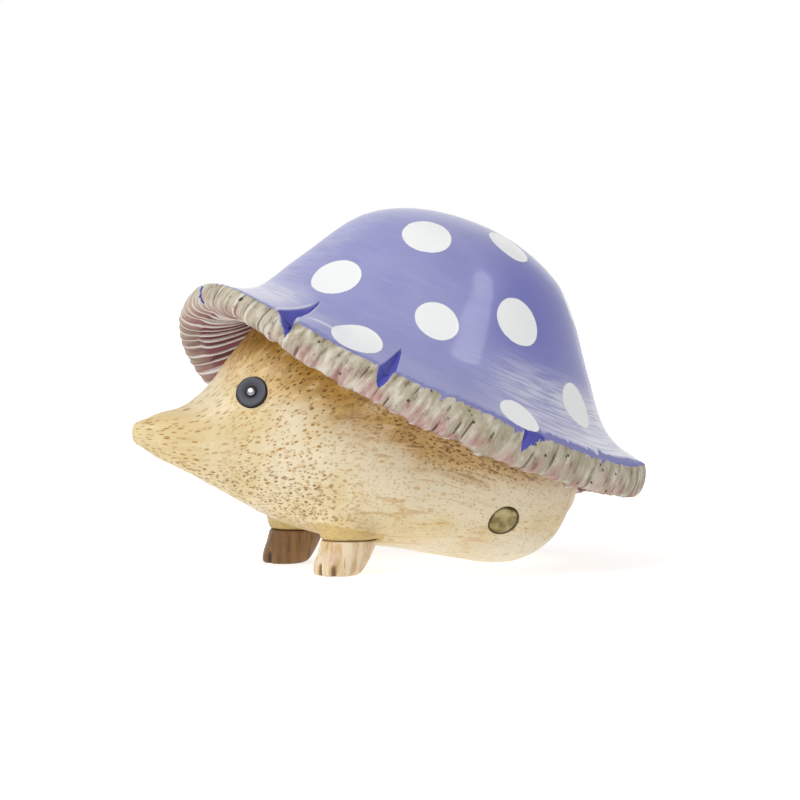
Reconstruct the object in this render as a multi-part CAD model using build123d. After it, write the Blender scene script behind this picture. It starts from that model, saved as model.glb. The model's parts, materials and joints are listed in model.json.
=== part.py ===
from build123d import *
import os
from math import cos, pi, radians, sin

os.makedirs("parts", exist_ok=True)

# A carved hedgehog under a toadstool cap. Millimetres, +Z up, nose towards -Y, its left side +X.
# Lengthwise places are measured back from the nose tip, heights up from the table.

# Body, carved from one root: sections as place, half width, underside, back and belly squareness
NOSE_ROUND = 1.4
BODY_SECTIONS = [
    (NOSE_ROUND, 3.5, 31.6, 37.4, 2.4),
    (7.0, 6.5, 28.1, 39.3, 2.4),
    (14.5, 9.3, 24.4, 42.1, 2.4),
    (22.0, 12.2, 20.4, 47.4, 2.5),
    (29.5, 15.8, 16.4, 56.0, 2.8),
    (40.5, 20.8, 11.2, 66.0, 3.4),
    (55.5, 25.2, 6.6, 71.0, 3.8),
    (70.5, 27.2, 4.0, 69.0, 3.0),
    (85.5, 26.8, 1.0, 60.0, 2.4),
    (97.5, 24.4, -0.5, 51.0, 2.4),
    (107.5, 19.0, 3.4, 42.0, 2.4),
    (114.5, 11.0, 10.5, 33.0, 2.4),
]
RUMP_ROUND = 2.5
BACK_SQUARENESS = 2.4

# Toadstool cap: its centre, its lean to the rear and to the right
CAP_PLACE = 75.6
CAP_SIDEWAYS = -1.0
CAP_HEIGHT = 43.7
CAP_LEAN = 22.5
CAP_ROLL = -4.5

# Cap outline from the crown over the shoulder and the waist to the rim
CROWN_HEIGHT = 44.0
CROWN_RADIUS = 12.5
CROWN_DROP = 0.5
SHOULDER_RADIUS = 26.4
SHOULDER_DROP = 6.2
WAIST_RADIUS = 40.6
WAIST_HEIGHT = 20.0
FLARE_RADIUS = 50.5
FLARE_HEIGHT = 7.8
RIM_RADIUS = 63.4
RIM_BAND = 8.6
RIM_EDGE_ROUND = 1.3
RIM_SIDE_DROOP = 14.0
RIM_FRONT_DIP = 1.2
DROOP_SPREAD = 0.14
CAP_WIDTH_RATIO = 0.86

# Gills: upright petals on the rim that run on as folds under the brim
GILL_COUNT = 84
GILL_WANDER = 0.3
GILL_SLANT = 0.42
PETAL_GROOVE = 0.5
FOLD_DEPTH = 1.6

# Flat seat where the cap is glued on the cut top of the body
SEAT_RADIUS = 46.0
SEAT_HALF_WIDTH = 30.5
SEAT_RISE = 1.5

# Dowels across the glued joints
CAP_DOWEL_DIAMETER = 6.0
CAP_DOWEL_LENGTH = 20.0
CAP_DOWEL_SPACING = 30.0
FOOT_DOWEL_DIAMETER = 4.0
FOOT_DOWEL_LENGTH = 10.0
GLUE_GAP = 0.1
DOWEL_END_ROOM = 0.5

# Feet and the leg stubs that they are glued under
FOOT_HEIGHT = 8.5
LEG_SPREAD = 32.4
LEG_PLACE = 49.4
LEG_HALF_WIDTH = 6.3
LEG_HALF_LENGTH = 7.0
LEG_STUB_HEIGHT = 10.0
LEG_ROOT_INSET = 3.8
LEG_ROOT_HALF_WIDTH = 7.0
LEG_ROOT_HALF_LENGTH = 10.9
SOLE_FORWARD = 3.8
SOLE_HALF_WIDTH = 5.4
SOLE_HALF_LENGTH = 5.2
TOE_SPLAY = 12.0
TOE_SPREAD = 50.0
TOE_NOTCH_RADIUS = 1.0
TOE_NOTCH_HEIGHT = 4.0

# Eyes: a thin disc in a shallow recess, held by a headed pin
EYE_PLACE = 25.6
EYE_ANGLE = 38.0
EYE_DIAMETER = 7.8
EYE_THICKNESS = 1.2
EYE_RECESS = 0.8
EYE_FIT = 0.1
PIN_HEAD_DIAMETER = 2.6
PIN_HEAD_RISE = 0.7
PIN_SHANK_DIAMETER = 1.5
PIN_LENGTH = 8.0

# Brass stud on the left flank: a domed head on a shank
STUD_PLACE = 88.0
STUD_ANGLE = -37.5
STUD_DIAMETER = 8.2
STUD_RISE = 1.6
STUD_RECESS = 0.7
STUD_FIT = 0.1
STUD_SHANK_DIAMETER = 1.8
STUD_LENGTH = 9.0

HALF_RING_STEPS = 12
DOME_RINGS = 9


def signed_power(value, power):
    return abs(value) ** power if value >= 0 else -abs(value) ** power


def body_ring(place, half_width, underside, back, belly_squareness):
    """One section across the body, a rounded oblong, from the back down and up again."""
    middle = (back + underside) / 2
    half_height = (back - underside) / 2
    halves = []
    for first, last in ((0, HALF_RING_STEPS), (HALF_RING_STEPS, 2 * HALF_RING_STEPS)):
        points = []
        for i in range(first, last + 1):
            turn = pi * i / HALF_RING_STEPS
            squareness = BACK_SQUARENESS if cos(turn) > 0 else belly_squareness
            across = half_width * signed_power(sin(turn), 2 / squareness)
            rise = half_height * signed_power(cos(turn), 2 / squareness)
            points.append((across, place, middle + rise))
        halves.append(points)
    return Wire([Edge.make_spline(points) for points in halves])


def middle_height(place):
    """Height of the middle of the body at a place between two sections."""
    for near, far in zip(BODY_SECTIONS, BODY_SECTIONS[1:]):
        if place <= far[0]:
            share = (place - near[0]) / (far[0] - near[0])
            near_middle = (near[2] + near[3]) / 2
            far_middle = (far[2] + far[3]) / 2
            return near_middle + (far_middle - near_middle) * share


def carved_body():
    """The whole carved form from nose tip to rump, before it is cut for the cap and feet."""
    rings = [body_ring(*section) for section in BODY_SECTIONS]
    first = BODY_SECTIONS[0][0]
    last = BODY_SECTIONS[-1][0]
    nose = Vertex(0, first - NOSE_ROUND, middle_height(first))
    rump = Vertex(0, last + RUMP_ROUND, middle_height(last))
    return Solid.make_loft([nose] + rings + [rump])


cap_plane = Plane(
    Pos(CAP_SIDEWAYS, CAP_PLACE, CAP_HEIGHT) * Rot(0, CAP_ROLL, 0) * Rot(-CAP_LEAN, 0, 0)
)
seat_plane = cap_plane.offset(SEAT_RISE)


def cap_place(turn, radius, half_width, height, droop):
    """A place on the cap: turn 0 is the front; the droop lowers both sides."""
    across = half_width * sin(turn)
    along = -radius * cos(turn)
    side_drop = droop * (sin(turn) ** 2 + DROOP_SPREAD * sin(2 * turn) ** 2)
    front_drop = droop / RIM_SIDE_DROOP * RIM_FRONT_DIP * cos(turn / 2) ** 8
    return cap_plane.from_local_coords((across, along, height - side_drop - front_drop))


def cap_ring(radius, half_width, height, droop):
    """One smooth ring of the cap, from front to rear and back."""
    halves = []
    for first in (0, HALF_RING_STEPS):
        points = []
        for i in range(first, first + HALF_RING_STEPS + 1):
            points.append(cap_place(pi * i / HALF_RING_STEPS, radius, half_width, height, droop))
        shares = [i / HALF_RING_STEPS for i in range(HALF_RING_STEPS + 1)]
        halves.append(Edge.make_spline(points, parameters=shares))
    return Wire(halves)


def groove_turn(number):
    """Turn of one groove between two gills; their spacing wanders, but not at front and rear."""
    half_count = GILL_COUNT // 2
    sway = GILL_WANDER * sin(2.4 * number) * sin(pi * (number % half_count) / half_count) ** 0.5
    return 2 * pi * (number + sway) / GILL_COUNT


def groove_cut(number):
    """Relative depth of one groove."""
    return 0.8 + 0.45 * sin(1.7 * (number % GILL_COUNT) + 0.6)


def gilled_ring(radius, half_width, height, droop, above_edge, petal, fold):
    """One ring that dips into every groove: inwards by petal, upwards by fold."""
    halves = []
    half_count = GILL_COUNT // 2
    for first in (0, half_count):
        samples = []
        for number in range(first, first + half_count):
            start = groove_turn(number)
            width = groove_turn(number + 1) - start
            samples.append((start, groove_cut(number)))
            samples.append((start + 0.25 * width, 0.5 * groove_cut(number)))
            samples.append((start + 0.5 * width, 0))
            samples.append((start + 0.75 * width, 0.5 * groove_cut(number + 1)))
        samples.append((groove_turn(first + half_count), groove_cut(first + half_count)))
        points = []
        for turn, cut in samples:
            slanted = turn + GILL_SLANT * above_edge / RIM_RADIUS * sin(turn)
            points.append(cap_place(
                slanted, radius - petal * cut, half_width - petal * cut, height + fold * cut, droop
            ))
        shares = [turn / pi - first / half_count for turn, cut in samples]
        halves.append(Edge.make_spline(points, parameters=shares))
    return Wire(halves)


def under_ring(share, petal, fold):
    """One gilled ring on the underside, a share of the way from the lower edge to the seat."""
    lip_radius = RIM_RADIUS - RIM_EDGE_ROUND
    radius = lip_radius + (SEAT_RADIUS - lip_radius) * share
    lip_half_width = lip_radius * CAP_WIDTH_RATIO
    half_width = lip_half_width + (SEAT_HALF_WIDTH - lip_half_width) * share
    height = -RIM_BAND / 2 + (SEAT_RISE + RIM_BAND / 2) * share
    return gilled_ring(radius, half_width, height, RIM_SIDE_DROOP * (1 - share), 0, petal, fold)


def cap_solid():
    """Dome, petalled rim, folded underside and flat seat, joined edge to edge into one solid."""
    crown = Vertex(*cap_plane.from_local_coords((0, 0, CROWN_HEIGHT)))
    lip_radius = RIM_RADIUS - RIM_EDGE_ROUND
    band_half = RIM_BAND / 2
    outline = Spline(
        (0, CROWN_HEIGHT),
        (CROWN_RADIUS, CROWN_HEIGHT - CROWN_DROP),
        (SHOULDER_RADIUS, CROWN_HEIGHT - SHOULDER_DROP),
        (WAIST_RADIUS, WAIST_HEIGHT),
        (FLARE_RADIUS, FLARE_HEIGHT),
        (lip_radius, band_half),
    )
    dome = []
    for i in range(1, DOME_RINGS + 1):
        place = outline.position_at(i / DOME_RINGS)
        droop = RIM_SIDE_DROOP * (place.X / lip_radius) ** 2
        dome.append(cap_ring(place.X, place.X * CAP_WIDTH_RATIO, place.Y, droop))
    band_middle = gilled_ring(
        RIM_RADIUS, RIM_RADIUS * CAP_WIDTH_RATIO, 0, RIM_SIDE_DROOP, band_half, PETAL_GROOVE, 0
    )
    band_bottom = under_ring(0, PETAL_GROOVE, 0.4 * FOLD_DEPTH)
    folds = [under_ring(0.25, 0, FOLD_DEPTH), under_ring(0.65, 0, FOLD_DEPTH)]
    seat = cap_ring(SEAT_RADIUS, SEAT_HALF_WIDTH, SEAT_RISE, 0)
    surfaces = [
        Shell.make_loft([crown] + dome),
        Shell.make_loft([dome[-1], band_middle, band_bottom]),
        Shell.make_loft([band_bottom] + folds + [seat]),
    ]
    faces = [face for surface in surfaces for face in surface.faces()]
    return Solid(Shell(faces + [Face(seat)]))


def round_bar(plane, diameter, bottom, top):
    """A round bar along the plane's normal between two heights."""
    return plane * Pos(0, 0, bottom) * Cylinder(
        diameter / 2, top - bottom, align=(Align.CENTER, Align.CENTER, Align.MIN)
    )


def ellipse_ring(across, place, height, half_width, half_length):
    ring = Pos(across, place, height) * Ellipse(half_width, half_length)
    return ring.face().outer_wire()


def surface_plane(form, place, angle, side):
    """The plane on one flank that faces outwards, at an angle above level from the body's middle."""
    middle = (0, place, middle_height(place))
    direction = (side * cos(radians(angle)), 0, sin(radians(angle)))
    hits = form.find_intersection_points(Axis(middle, direction))
    point, normal = max(hits, key=lambda hit: hit[0].X * side)
    outward = normal if normal.X * side > 0 else -normal
    return Plane(origin=point, z_dir=outward)


def leg_stub(side):
    """The carved stub that grows out of the body and ends flat above the foot."""
    across = side * LEG_SPREAD / 2
    root = across - side * LEG_ROOT_INSET
    top = FOOT_HEIGHT + LEG_STUB_HEIGHT
    return Solid.make_loft([
        ellipse_ring(across, LEG_PLACE, FOOT_HEIGHT, LEG_HALF_WIDTH, LEG_HALF_LENGTH),
        ellipse_ring(root, LEG_PLACE, top, LEG_ROOT_HALF_WIDTH, LEG_ROOT_HALF_LENGTH),
    ])


def foot(side):
    """A foot that narrows to its sole and reaches forward, with three notches between four toes."""
    across = side * LEG_SPREAD / 2
    sole_place = LEG_PLACE - SOLE_FORWARD
    block = Solid.make_loft([
        ellipse_ring(across, sole_place, 0, SOLE_HALF_WIDTH, SOLE_HALF_LENGTH),
        ellipse_ring(across, LEG_PLACE, FOOT_HEIGHT, LEG_HALF_WIDTH, LEG_HALF_LENGTH),
    ])
    for step in (-1, 0, 1):
        turn = radians(TOE_SPLAY + step * TOE_SPREAD)
        outward = side * sin(turn)
        low = Vector(across + SOLE_HALF_WIDTH * outward, sole_place - SOLE_HALF_LENGTH * cos(turn), 0)
        high = Vector(
            across + LEG_HALF_WIDTH * outward, LEG_PLACE - LEG_HALF_LENGTH * cos(turn), FOOT_HEIGHT
        )
        notch = Cone(
            TOE_NOTCH_RADIUS, 0, TOE_NOTCH_HEIGHT, align=(Align.CENTER, Align.CENTER, Align.MIN)
        )
        block -= Plane(origin=low, z_dir=high - low) * notch
    return block


def domed_head(plane, diameter, rise):
    """A shallow dome whose flat back lies on the plane."""
    ball_radius = (diameter ** 2 / 4 + rise ** 2) / (2 * rise)
    ball = plane * Pos(0, 0, rise - ball_radius) * Sphere(ball_radius)
    return ball & round_bar(plane, diameter, 0, rise)


form = carved_body()
cap = cap_solid()
body = split(split(form, seat_plane, keep=Keep.BOTTOM), Plane.XY, keep=Keep.TOP) - cap
pieces = {}

# Cap dowels, half in the cap and half in the body
cap_dowel_half = CAP_DOWEL_LENGTH / 2
cap_bore = CAP_DOWEL_DIAMETER + 2 * GLUE_GAP
cap_bore_half = cap_dowel_half + DOWEL_END_ROOM
for name, offset in (("front", -CAP_DOWEL_SPACING / 2), ("rear", CAP_DOWEL_SPACING / 2)):
    plane = Plane(seat_plane.location * Pos(0, offset, 0))
    bore = round_bar(plane, cap_bore, -cap_bore_half, cap_bore_half)
    cap -= bore
    body -= bore
    dowel = round_bar(plane, CAP_DOWEL_DIAMETER, -cap_dowel_half, cap_dowel_half)
    pieces[f"cap_dowel_{name}"] = dowel

# Feet under their stubs, with a dowel across each joint
foot_dowel_half = FOOT_DOWEL_LENGTH / 2
foot_bore = FOOT_DOWEL_DIAMETER + 2 * GLUE_GAP
foot_bore_half = foot_dowel_half + DOWEL_END_ROOM
for name, side in (("left", 1), ("right", -1)):
    plane = Plane(Pos(side * LEG_SPREAD / 2, LEG_PLACE, FOOT_HEIGHT))
    bore = round_bar(plane, foot_bore, -foot_bore_half, foot_bore_half)
    block = foot(side)
    body = body + leg_stub(side) - block - bore
    pieces[f"{name}_foot"] = block - bore
    pieces[f"{name}_foot_dowel"] = round_bar(
        plane, FOOT_DOWEL_DIAMETER, -foot_dowel_half, foot_dowel_half
    )

# Eyes in their recesses
for name, side in (("left", 1), ("right", -1)):
    surface = surface_plane(form, EYE_PLACE, EYE_ANGLE, side)
    floor = surface.offset(-EYE_RECESS)
    recess = round_bar(floor, EYE_DIAMETER + 2 * EYE_FIT, 0, EYE_DIAMETER)
    pin_bore = PIN_SHANK_DIAMETER + 2 * EYE_FIT
    bore = round_bar(floor, pin_bore, -PIN_LENGTH - DOWEL_END_ROOM, EYE_THICKNESS)
    body = body - recess - bore
    disc = round_bar(floor, EYE_DIAMETER, 0, EYE_THICKNESS) - bore
    face = floor.offset(EYE_THICKNESS)
    head = domed_head(face, PIN_HEAD_DIAMETER, PIN_HEAD_RISE)
    shank = round_bar(face, PIN_SHANK_DIAMETER, -PIN_LENGTH, 0)
    pieces[f"{name}_eye_disc"] = disc
    pieces[f"{name}_eye_pin"] = head + shank

# Brass stud in a shallow seat
flank = surface_plane(form, STUD_PLACE, STUD_ANGLE, 1).offset(-STUD_RECESS)
stud_seat = round_bar(flank, STUD_DIAMETER + 2 * STUD_FIT, 0, STUD_DIAMETER)
stud_bore_diameter = STUD_SHANK_DIAMETER + 2 * STUD_FIT
stud_bore = round_bar(flank, stud_bore_diameter, -STUD_LENGTH - DOWEL_END_ROOM, 0)
body = body - stud_seat - stud_bore
stud_shank = round_bar(flank, STUD_SHANK_DIAMETER, -STUD_LENGTH, 0)
pieces["brass_stud"] = domed_head(flank, STUD_DIAMETER, STUD_RISE) + stud_shank

pieces["body"] = body
pieces["cap"] = cap

# The origin is on the table, under the middle of the whole figure
box = Compound(list(pieces.values())).bounding_box()
centring = Pos(-(box.min.X + box.max.X) / 2, -(box.min.Y + box.max.Y) / 2, 0)
for name, piece in pieces.items():
    export_step(centring * piece, f"parts/{name}.step")
print("size", [round(v, 2) for v in box.size], "moved", centring.position)
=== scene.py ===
# %% [markdown]
# # A carved hedgehog under a toadstool cap
# The figure is carved by hand: a body from one bamboo root, two glued feet, and a wide wooden
# cap that is painted blue with white spots. Small metal and painted discs make the eyes, and a
# brass stud sits on its flank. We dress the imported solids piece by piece, in metres, in their frame.

# %% Load the solids and keep their box
import json
import random
from bisect import bisect_right
from functools import reduce
from math import atan2, copysign, cos, degrees, exp, hypot, pi, radians, sin, tau

import bmesh
import bpy
from mathutils import Matrix, Vector, noise
from mathutils.geometry import interpolate_bezier

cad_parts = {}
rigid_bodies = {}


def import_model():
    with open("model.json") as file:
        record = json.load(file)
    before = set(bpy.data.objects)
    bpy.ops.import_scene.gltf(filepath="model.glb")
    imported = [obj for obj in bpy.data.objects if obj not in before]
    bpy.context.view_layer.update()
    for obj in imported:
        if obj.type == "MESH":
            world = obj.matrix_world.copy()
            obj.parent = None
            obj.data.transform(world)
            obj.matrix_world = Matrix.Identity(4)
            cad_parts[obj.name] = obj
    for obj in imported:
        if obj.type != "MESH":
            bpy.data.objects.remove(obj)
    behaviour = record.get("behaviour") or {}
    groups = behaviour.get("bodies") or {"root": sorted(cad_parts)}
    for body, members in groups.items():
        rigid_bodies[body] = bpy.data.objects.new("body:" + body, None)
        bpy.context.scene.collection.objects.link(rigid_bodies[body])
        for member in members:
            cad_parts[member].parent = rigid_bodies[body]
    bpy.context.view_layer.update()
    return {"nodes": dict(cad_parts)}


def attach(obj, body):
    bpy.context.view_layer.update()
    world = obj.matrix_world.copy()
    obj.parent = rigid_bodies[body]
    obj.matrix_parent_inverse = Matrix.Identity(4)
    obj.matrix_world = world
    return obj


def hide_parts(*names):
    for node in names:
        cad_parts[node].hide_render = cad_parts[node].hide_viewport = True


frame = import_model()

MM = 0.001
print("solids:", sorted(frame["nodes"]))

# %% [markdown]
# ## Small helpers for shapes
# Most of these forms are rings on rings: a grid of points is wrapped around an axis, the way a
# sheet of clay is wrapped round a core. A few helpers turn a finished bmesh into an object or into a
# piece that rides on the figure, one draws a smooth line through knots, and one walks along it.

# %% Helpers for shapes
def clamp(value, low=0.0, high=1.0):
    return min(max(value, low), high)


def ease(value, low, high):
    """0 below low, 1 above high and a soft step between them."""
    share = clamp((value - low) / (high - low))
    return share * share * (3 - 2 * share)


def bell(off, spread):
    """1 in the middle, falling softly to 0 on both sides."""
    return exp(-(off / spread) ** 2)


def wave(turn, count, level):
    """Unevenness round an axis: a higher count makes shorter waves."""
    return noise.noise(Vector((count * cos(turn), count * sin(turn), level)))


def blend(a, b, share):
    return a + (b - a) * share


def smooth_line(knots, start, end, steps=24):
    """Points on a smooth line through flat knots, with a given heading at both ends."""
    knots = [Vector((*knot, 0)) for knot in knots]
    gaps = [(b - a).length for a, b in zip(knots, knots[1:])]
    headings = [Vector((*start, 0)).normalized()]
    for i in range(1, len(knots) - 1):
        before = (knots[i] - knots[i - 1]) / gaps[i - 1]
        after = (knots[i + 1] - knots[i]) / gaps[i]
        headings.append((before * gaps[i] + after * gaps[i - 1]) / (gaps[i] + gaps[i - 1]))
    headings.append(Vector((*end, 0)).normalized())
    line = [knots[0]]
    for i, gap in enumerate(gaps):
        leave = knots[i] + headings[i] * gap / 3
        arrive = knots[i + 1] - headings[i + 1] * gap / 3
        line += interpolate_bezier(knots[i], leave, arrive, knots[i + 1], steps)[1:]
    return line


class Walk:
    """Walks along a line of points by length."""

    def __init__(self, line):
        self.line = line
        self.marks = [0.0]
        for a, b in zip(line, line[1:]):
            self.marks.append(self.marks[-1] + (b - a).length)
        self.length = self.marks[-1]

    def at(self, length):
        i = clamp(bisect_right(self.marks, length) - 1, 0, len(self.line) - 2)
        share = (length - self.marks[i]) / (self.marks[i + 1] - self.marks[i])
        return self.line[i].lerp(self.line[i + 1], clamp(share))


def add_object(name, data):
    """A new object in the scene, at the origin."""
    made = bpy.data.objects.new(name, data)
    bpy.context.scene.collection.objects.link(made)
    return made


def mesh_object(name, bm):
    """An object made of a bmesh, which is used up."""
    mesh = bpy.data.meshes.new(name)
    bm.to_mesh(mesh)
    bm.free()
    return add_object(name, mesh)


def finish_piece(name, bm, node, material):
    """A smooth piece made of a bmesh, riding on the figure in place of one solid."""
    piece = mesh_object(name, bm)
    piece.data.shade_smooth()
    piece.data.materials.append(material)
    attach(piece, "root")
    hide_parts(node)
    print(name, "faces:", len(piece.data.polygons))


print("shape helpers ready")

# %% [markdown]
# ## Shader sums as Python sums
# A finish here is a sum of masks: streaks, spots, stains. Wiring every Math node by hand hides that
# sum, so one small class wraps a socket and lets us write `1 - mask * 0.5`. Every other node comes
# from one method that takes its type, its settings and its sockets. Colours are laid over each
# other as coats, each with the share of it that covers what lies below.

# %% A socket that can stand in a sum
class Channel:
    def __init__(self, finish, socket):
        self.finish = finish
        self.socket = socket

    def math(self, operation, first, second=0.0):
        return self.finish.node("ShaderNodeMath", {"operation": operation}, {0: first, 1: second})

    def __add__(self, other):
        return self.math("ADD", self, other)

    def __radd__(self, other):
        return self.math("ADD", other, self)

    def __sub__(self, other):
        return self.math("SUBTRACT", self, other)

    def __rsub__(self, other):
        return self.math("SUBTRACT", other, self)

    def __mul__(self, other):
        return self.math("MULTIPLY", self, other)

    def __rmul__(self, other):
        return self.math("MULTIPLY", other, self)

    def __truediv__(self, other):
        return self.math("DIVIDE", self, other)

    def __rtruediv__(self, other):
        return self.math("DIVIDE", other, self)

    def least(self, other):
        return self.math("MINIMUM", self, other)

    def most(self, other):
        return self.math("MAXIMUM", self, other)

    def sine(self):
        return self.math("SINE", self)

    def size(self):
        return self.math("ABSOLUTE", self)

    def step(self, low, high):
        """A soft step from 0 at low to 1 at high; low may be above high."""
        return self.finish.node(
            "ShaderNodeMapRange", {"interpolation_type": "SMOOTHSTEP"},
            {"Value": self, "From Min": low, "From Max": high},
        )


print("sockets can be added, multiplied and compared")

# %% A finish and its nodes
def colour(red, green, blue):
    """A linear colour from the 0 to 255 values of a screen."""
    linear = []
    for value in (red, green, blue):
        value /= 255
        linear.append(value / 12.92 if value <= 0.04045 else ((value + 0.055) / 1.055) ** 2.4)
    return (*linear, 1.0)


class Finish:
    def __init__(self, name, owners=bpy.data.materials):
        self.owner = owners.new(name)
        self.owner.use_nodes = True
        self.tree = self.owner.node_tree
        self.tree.nodes.clear()
        self.place = self.node("ShaderNodeTexCoord", {}, {}, "Object")

    def node(self, kind, settings, sockets, output=0):
        """Any node: its settings are set first, then its sockets are filled or linked."""
        made = self.tree.nodes.new(kind)
        for name, value in settings.items():
            setattr(made, name, value)
        for name, value in sockets.items():
            if isinstance(value, Channel):
                self.tree.links.new(value.socket, made.inputs[name])
            else:
                made.inputs[name].default_value = value
        return Channel(self, made.outputs[output])

    def mix(self, share, first, second):
        """One colour over another by a share from 0 to 1; plain colours are screen values."""
        first, second = [colour(*tone) if isinstance(tone, tuple) else tone for tone in (first, second)]
        return self.node("ShaderNodeMix", {"data_type": "RGBA"}, {0: share, 6: first, 7: second}, 2)

    def coats(self, base, *coats):
        """Coats of a share and a colour, laid over a base one after the other."""
        for share, tone in coats:
            base = self.mix(share, base, tone)
        return base

    def stretched(self, *scale):
        return self.node("ShaderNodeMapping", {}, {"Vector": self.place, "Scale": scale})

    def noise(self, source, scale, detail=3.0, rough=0.5, warp=0.0):
        return self.node(
            "ShaderNodeTexNoise", {},
            {"Vector": source, "Scale": scale, "Detail": detail, "Roughness": rough, "Distortion": warp},
        )

    def cells(self, source, scale, output):
        return self.node("ShaderNodeTexVoronoi", {}, {"Vector": source, "Scale": scale}, output)

    def split(self, source):
        return [self.node("ShaderNodeSeparateXYZ", {}, {0: source}, i) for i in range(3)]

    def join(self, x, y, z):
        return self.node("ShaderNodeCombineXYZ", {}, {0: x, 1: y, 2: z})

    def mark(self, name):
        """A number that the mesh carries at its points."""
        return self.node("ShaderNodeAttribute", {"attribute_name": name}, {}, "Fac")

    def ray(self, kind):
        """1 for light that is followed in one way, such as straight from the camera."""
        return self.node("ShaderNodeLightPath", {}, {}, f"Is {kind} Ray")

    def distance(self, point):
        """Distance from a point, in mm."""
        ends = {0: self.place, 1: point}
        return self.node("ShaderNodeVectorMath", {"operation": "DISTANCE"}, ends, "Value") / MM

    def surface(self, base, relief, relief_depth, **constants):
        """The shader at the end: a base colour, a relief as bump in mm, and the rest by name."""
        sockets = {"Base Color": base}
        for name, value in constants.items():
            sockets[name.replace("_", " ").title().replace("Ior", "IOR")] = value
        sockets["Normal"] = self.node(
            "ShaderNodeBump", {}, {"Height": relief, "Distance": relief_depth * MM, "Strength": 1.0}
        )
        self.end_with(self.node("ShaderNodeBsdfPrincipled", {}, sockets))
        return self.owner

    def end_with(self, shader, end_kind="ShaderNodeOutputMaterial"):
        end = self.tree.nodes.new(end_kind)
        self.tree.links.new(shader.socket, end.inputs["Surface"])


print("finishes are ready to be mixed")

# %% [markdown]
# ## Light, camera and ground
# The photograph was taken on white, from the figure's front left and slightly above, with a long
# lens. Setting the camera first lets every later piece be judged in the same frame. A broad lamp
# lights the front, a small one gives the cap its reflection of a softbox, and a wide pale one behind
# brightens the far edges. The ground is a diffuse white with a little light of its own: for the camera,
# so that it reads as white paper but keeps the soft shadow, and for the belly, which it lights from below.

# %% Camera at the photograph's angle
AIM = Vector((0, 3.1, 41.15)) * MM
CAMERA_TURN = 65
CAMERA_DISTANCE = 0.7
CAMERA_RISE = 0.03285


def aimed(name, data, turn, flat, rise):
    """An object that looks at the figure: turn in degrees from the nose towards its left side."""
    made = add_object(name, data)
    angle = radians(turn)
    made.location = AIM + Vector((flat * sin(angle), -flat * cos(angle), rise))
    made.rotation_euler = (AIM - made.location).to_track_quat("-Z", "Y").to_euler()
    return made


camera_data = bpy.data.cameras.new("camera")
camera_data.lens = 126.1
camera_data.sensor_width = 36
camera = aimed("camera", camera_data, CAMERA_TURN, CAMERA_DISTANCE, CAMERA_RISE)
bpy.context.scene.camera = camera
bpy.context.scene.view_settings.view_transform = "Standard"
print("camera stands at", [round(v / MM) for v in camera.location])

# %% Soft lamps
def soft_lamp(name, turn, height, distance, size, power):
    """A round lamp around the figure, at a height in degrees."""
    lamp_data = bpy.data.lights.new(name, "AREA")
    lamp_data.shape = "DISK"
    lamp_data.size = size
    lamp_data.energy = power
    return aimed(name, lamp_data, turn, distance * cos(radians(height)), distance * sin(radians(height)))


soft_lamp("front_lamp", turn=25, height=45, distance=0.9, size=0.5, power=3.9)
soft_lamp("side_lamp", turn=146, height=49, distance=0.9, size=0.16, power=0.28)
backdrop_lamp = soft_lamp("backdrop_lamp", turn=255, height=12, distance=1.2, size=2.0, power=2.2)
backdrop_lamp.visible_camera = False
print("lamps:", [light.name for light in bpy.data.lights])

# %% White room and white ground
DAYLIGHT = 0.44
MIRRORED_WALLS = 0.8
room = Finish("white_room", bpy.data.worlds)
level = room.ray("Camera").most(room.ray("Glossy") * MIRRORED_WALLS).most(DAYLIGHT)
backing = room.node("ShaderNodeBackground", {}, {"Color": (1, 1, 1, 1), "Strength": level})
room.end_with(backing, "ShaderNodeOutputWorld")
bpy.context.scene.world = room.owner

ground_finish = Finish("ground_white")
camera_ray = ground_finish.ray("Camera")
far_off = ground_finish.distance((0, 0, 0)).step(100, 300)
glow = camera_ray * (0.72 + 0.5 * far_off) + (1 - camera_ray) * 0.56
white_paper = ground_finish.node("ShaderNodeBsdfDiffuse", {}, {"Color": (0.62, 0.62, 0.62, 1)})
own_light = ground_finish.node("ShaderNodeEmission", {}, {"Strength": glow})
ground_finish.end_with(ground_finish.node("ShaderNodeAddShader", {}, {0: white_paper, 1: own_light}))
ground_bm = bmesh.new()
bmesh.ops.create_grid(ground_bm, x_segments=2, y_segments=2, size=6)
ground = mesh_object("ground", ground_bm)
ground.data.materials.append(ground_finish.owner)
print("room and ground are white")

# %% [markdown]
# ## The cap's form
# The cap is turned or carved like a toadstool: a steep dome that flares into a wide brim, which
# droops at both sides. It leans back and a little sideways. Its outline is a smooth line through the
# solid's knots, a hair lower at the crown, and each ring is narrower across than along.

# %% Outline and leaning frame of the cap
CAP_FRAME = (
    Matrix.Translation(Vector((-1.0, 8.246, 43.7)) * MM)
    @ Matrix.Rotation(radians(-4.5), 4, "Y")
    @ Matrix.Rotation(radians(-22.5), 4, "X")
)
CAP_NARROW = 0.86
LIP_RADIUS = 62.1
BAND = 8.6
BAND_BULGE = 1.3
SIDE_DROOP = 14.0
FRONT_DROOP = 1.2
SEAT_RADIUS = 46.0
SEAT_HALF_WIDTH = 30.5
SEAT_RISE = 1.5

cap_outline = Walk(smooth_line(
    [(0, 43.9), (12.5, 43.4), (26.4, 37.8), (40.6, 20), (50.5, 7.8), (LIP_RADIUS, BAND / 2)],
    start=(1, 0), end=(1, -0.12),
))


def ring_drop(turn, droop):
    """How far a ring hangs down at a turn: most at the sides, a little in front."""
    side_drop = droop * (sin(turn) ** 2 + 0.14 * sin(2 * turn) ** 2)
    return side_drop + droop / SIDE_DROOP * FRONT_DROOP * cos(turn / 2) ** 8


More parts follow.
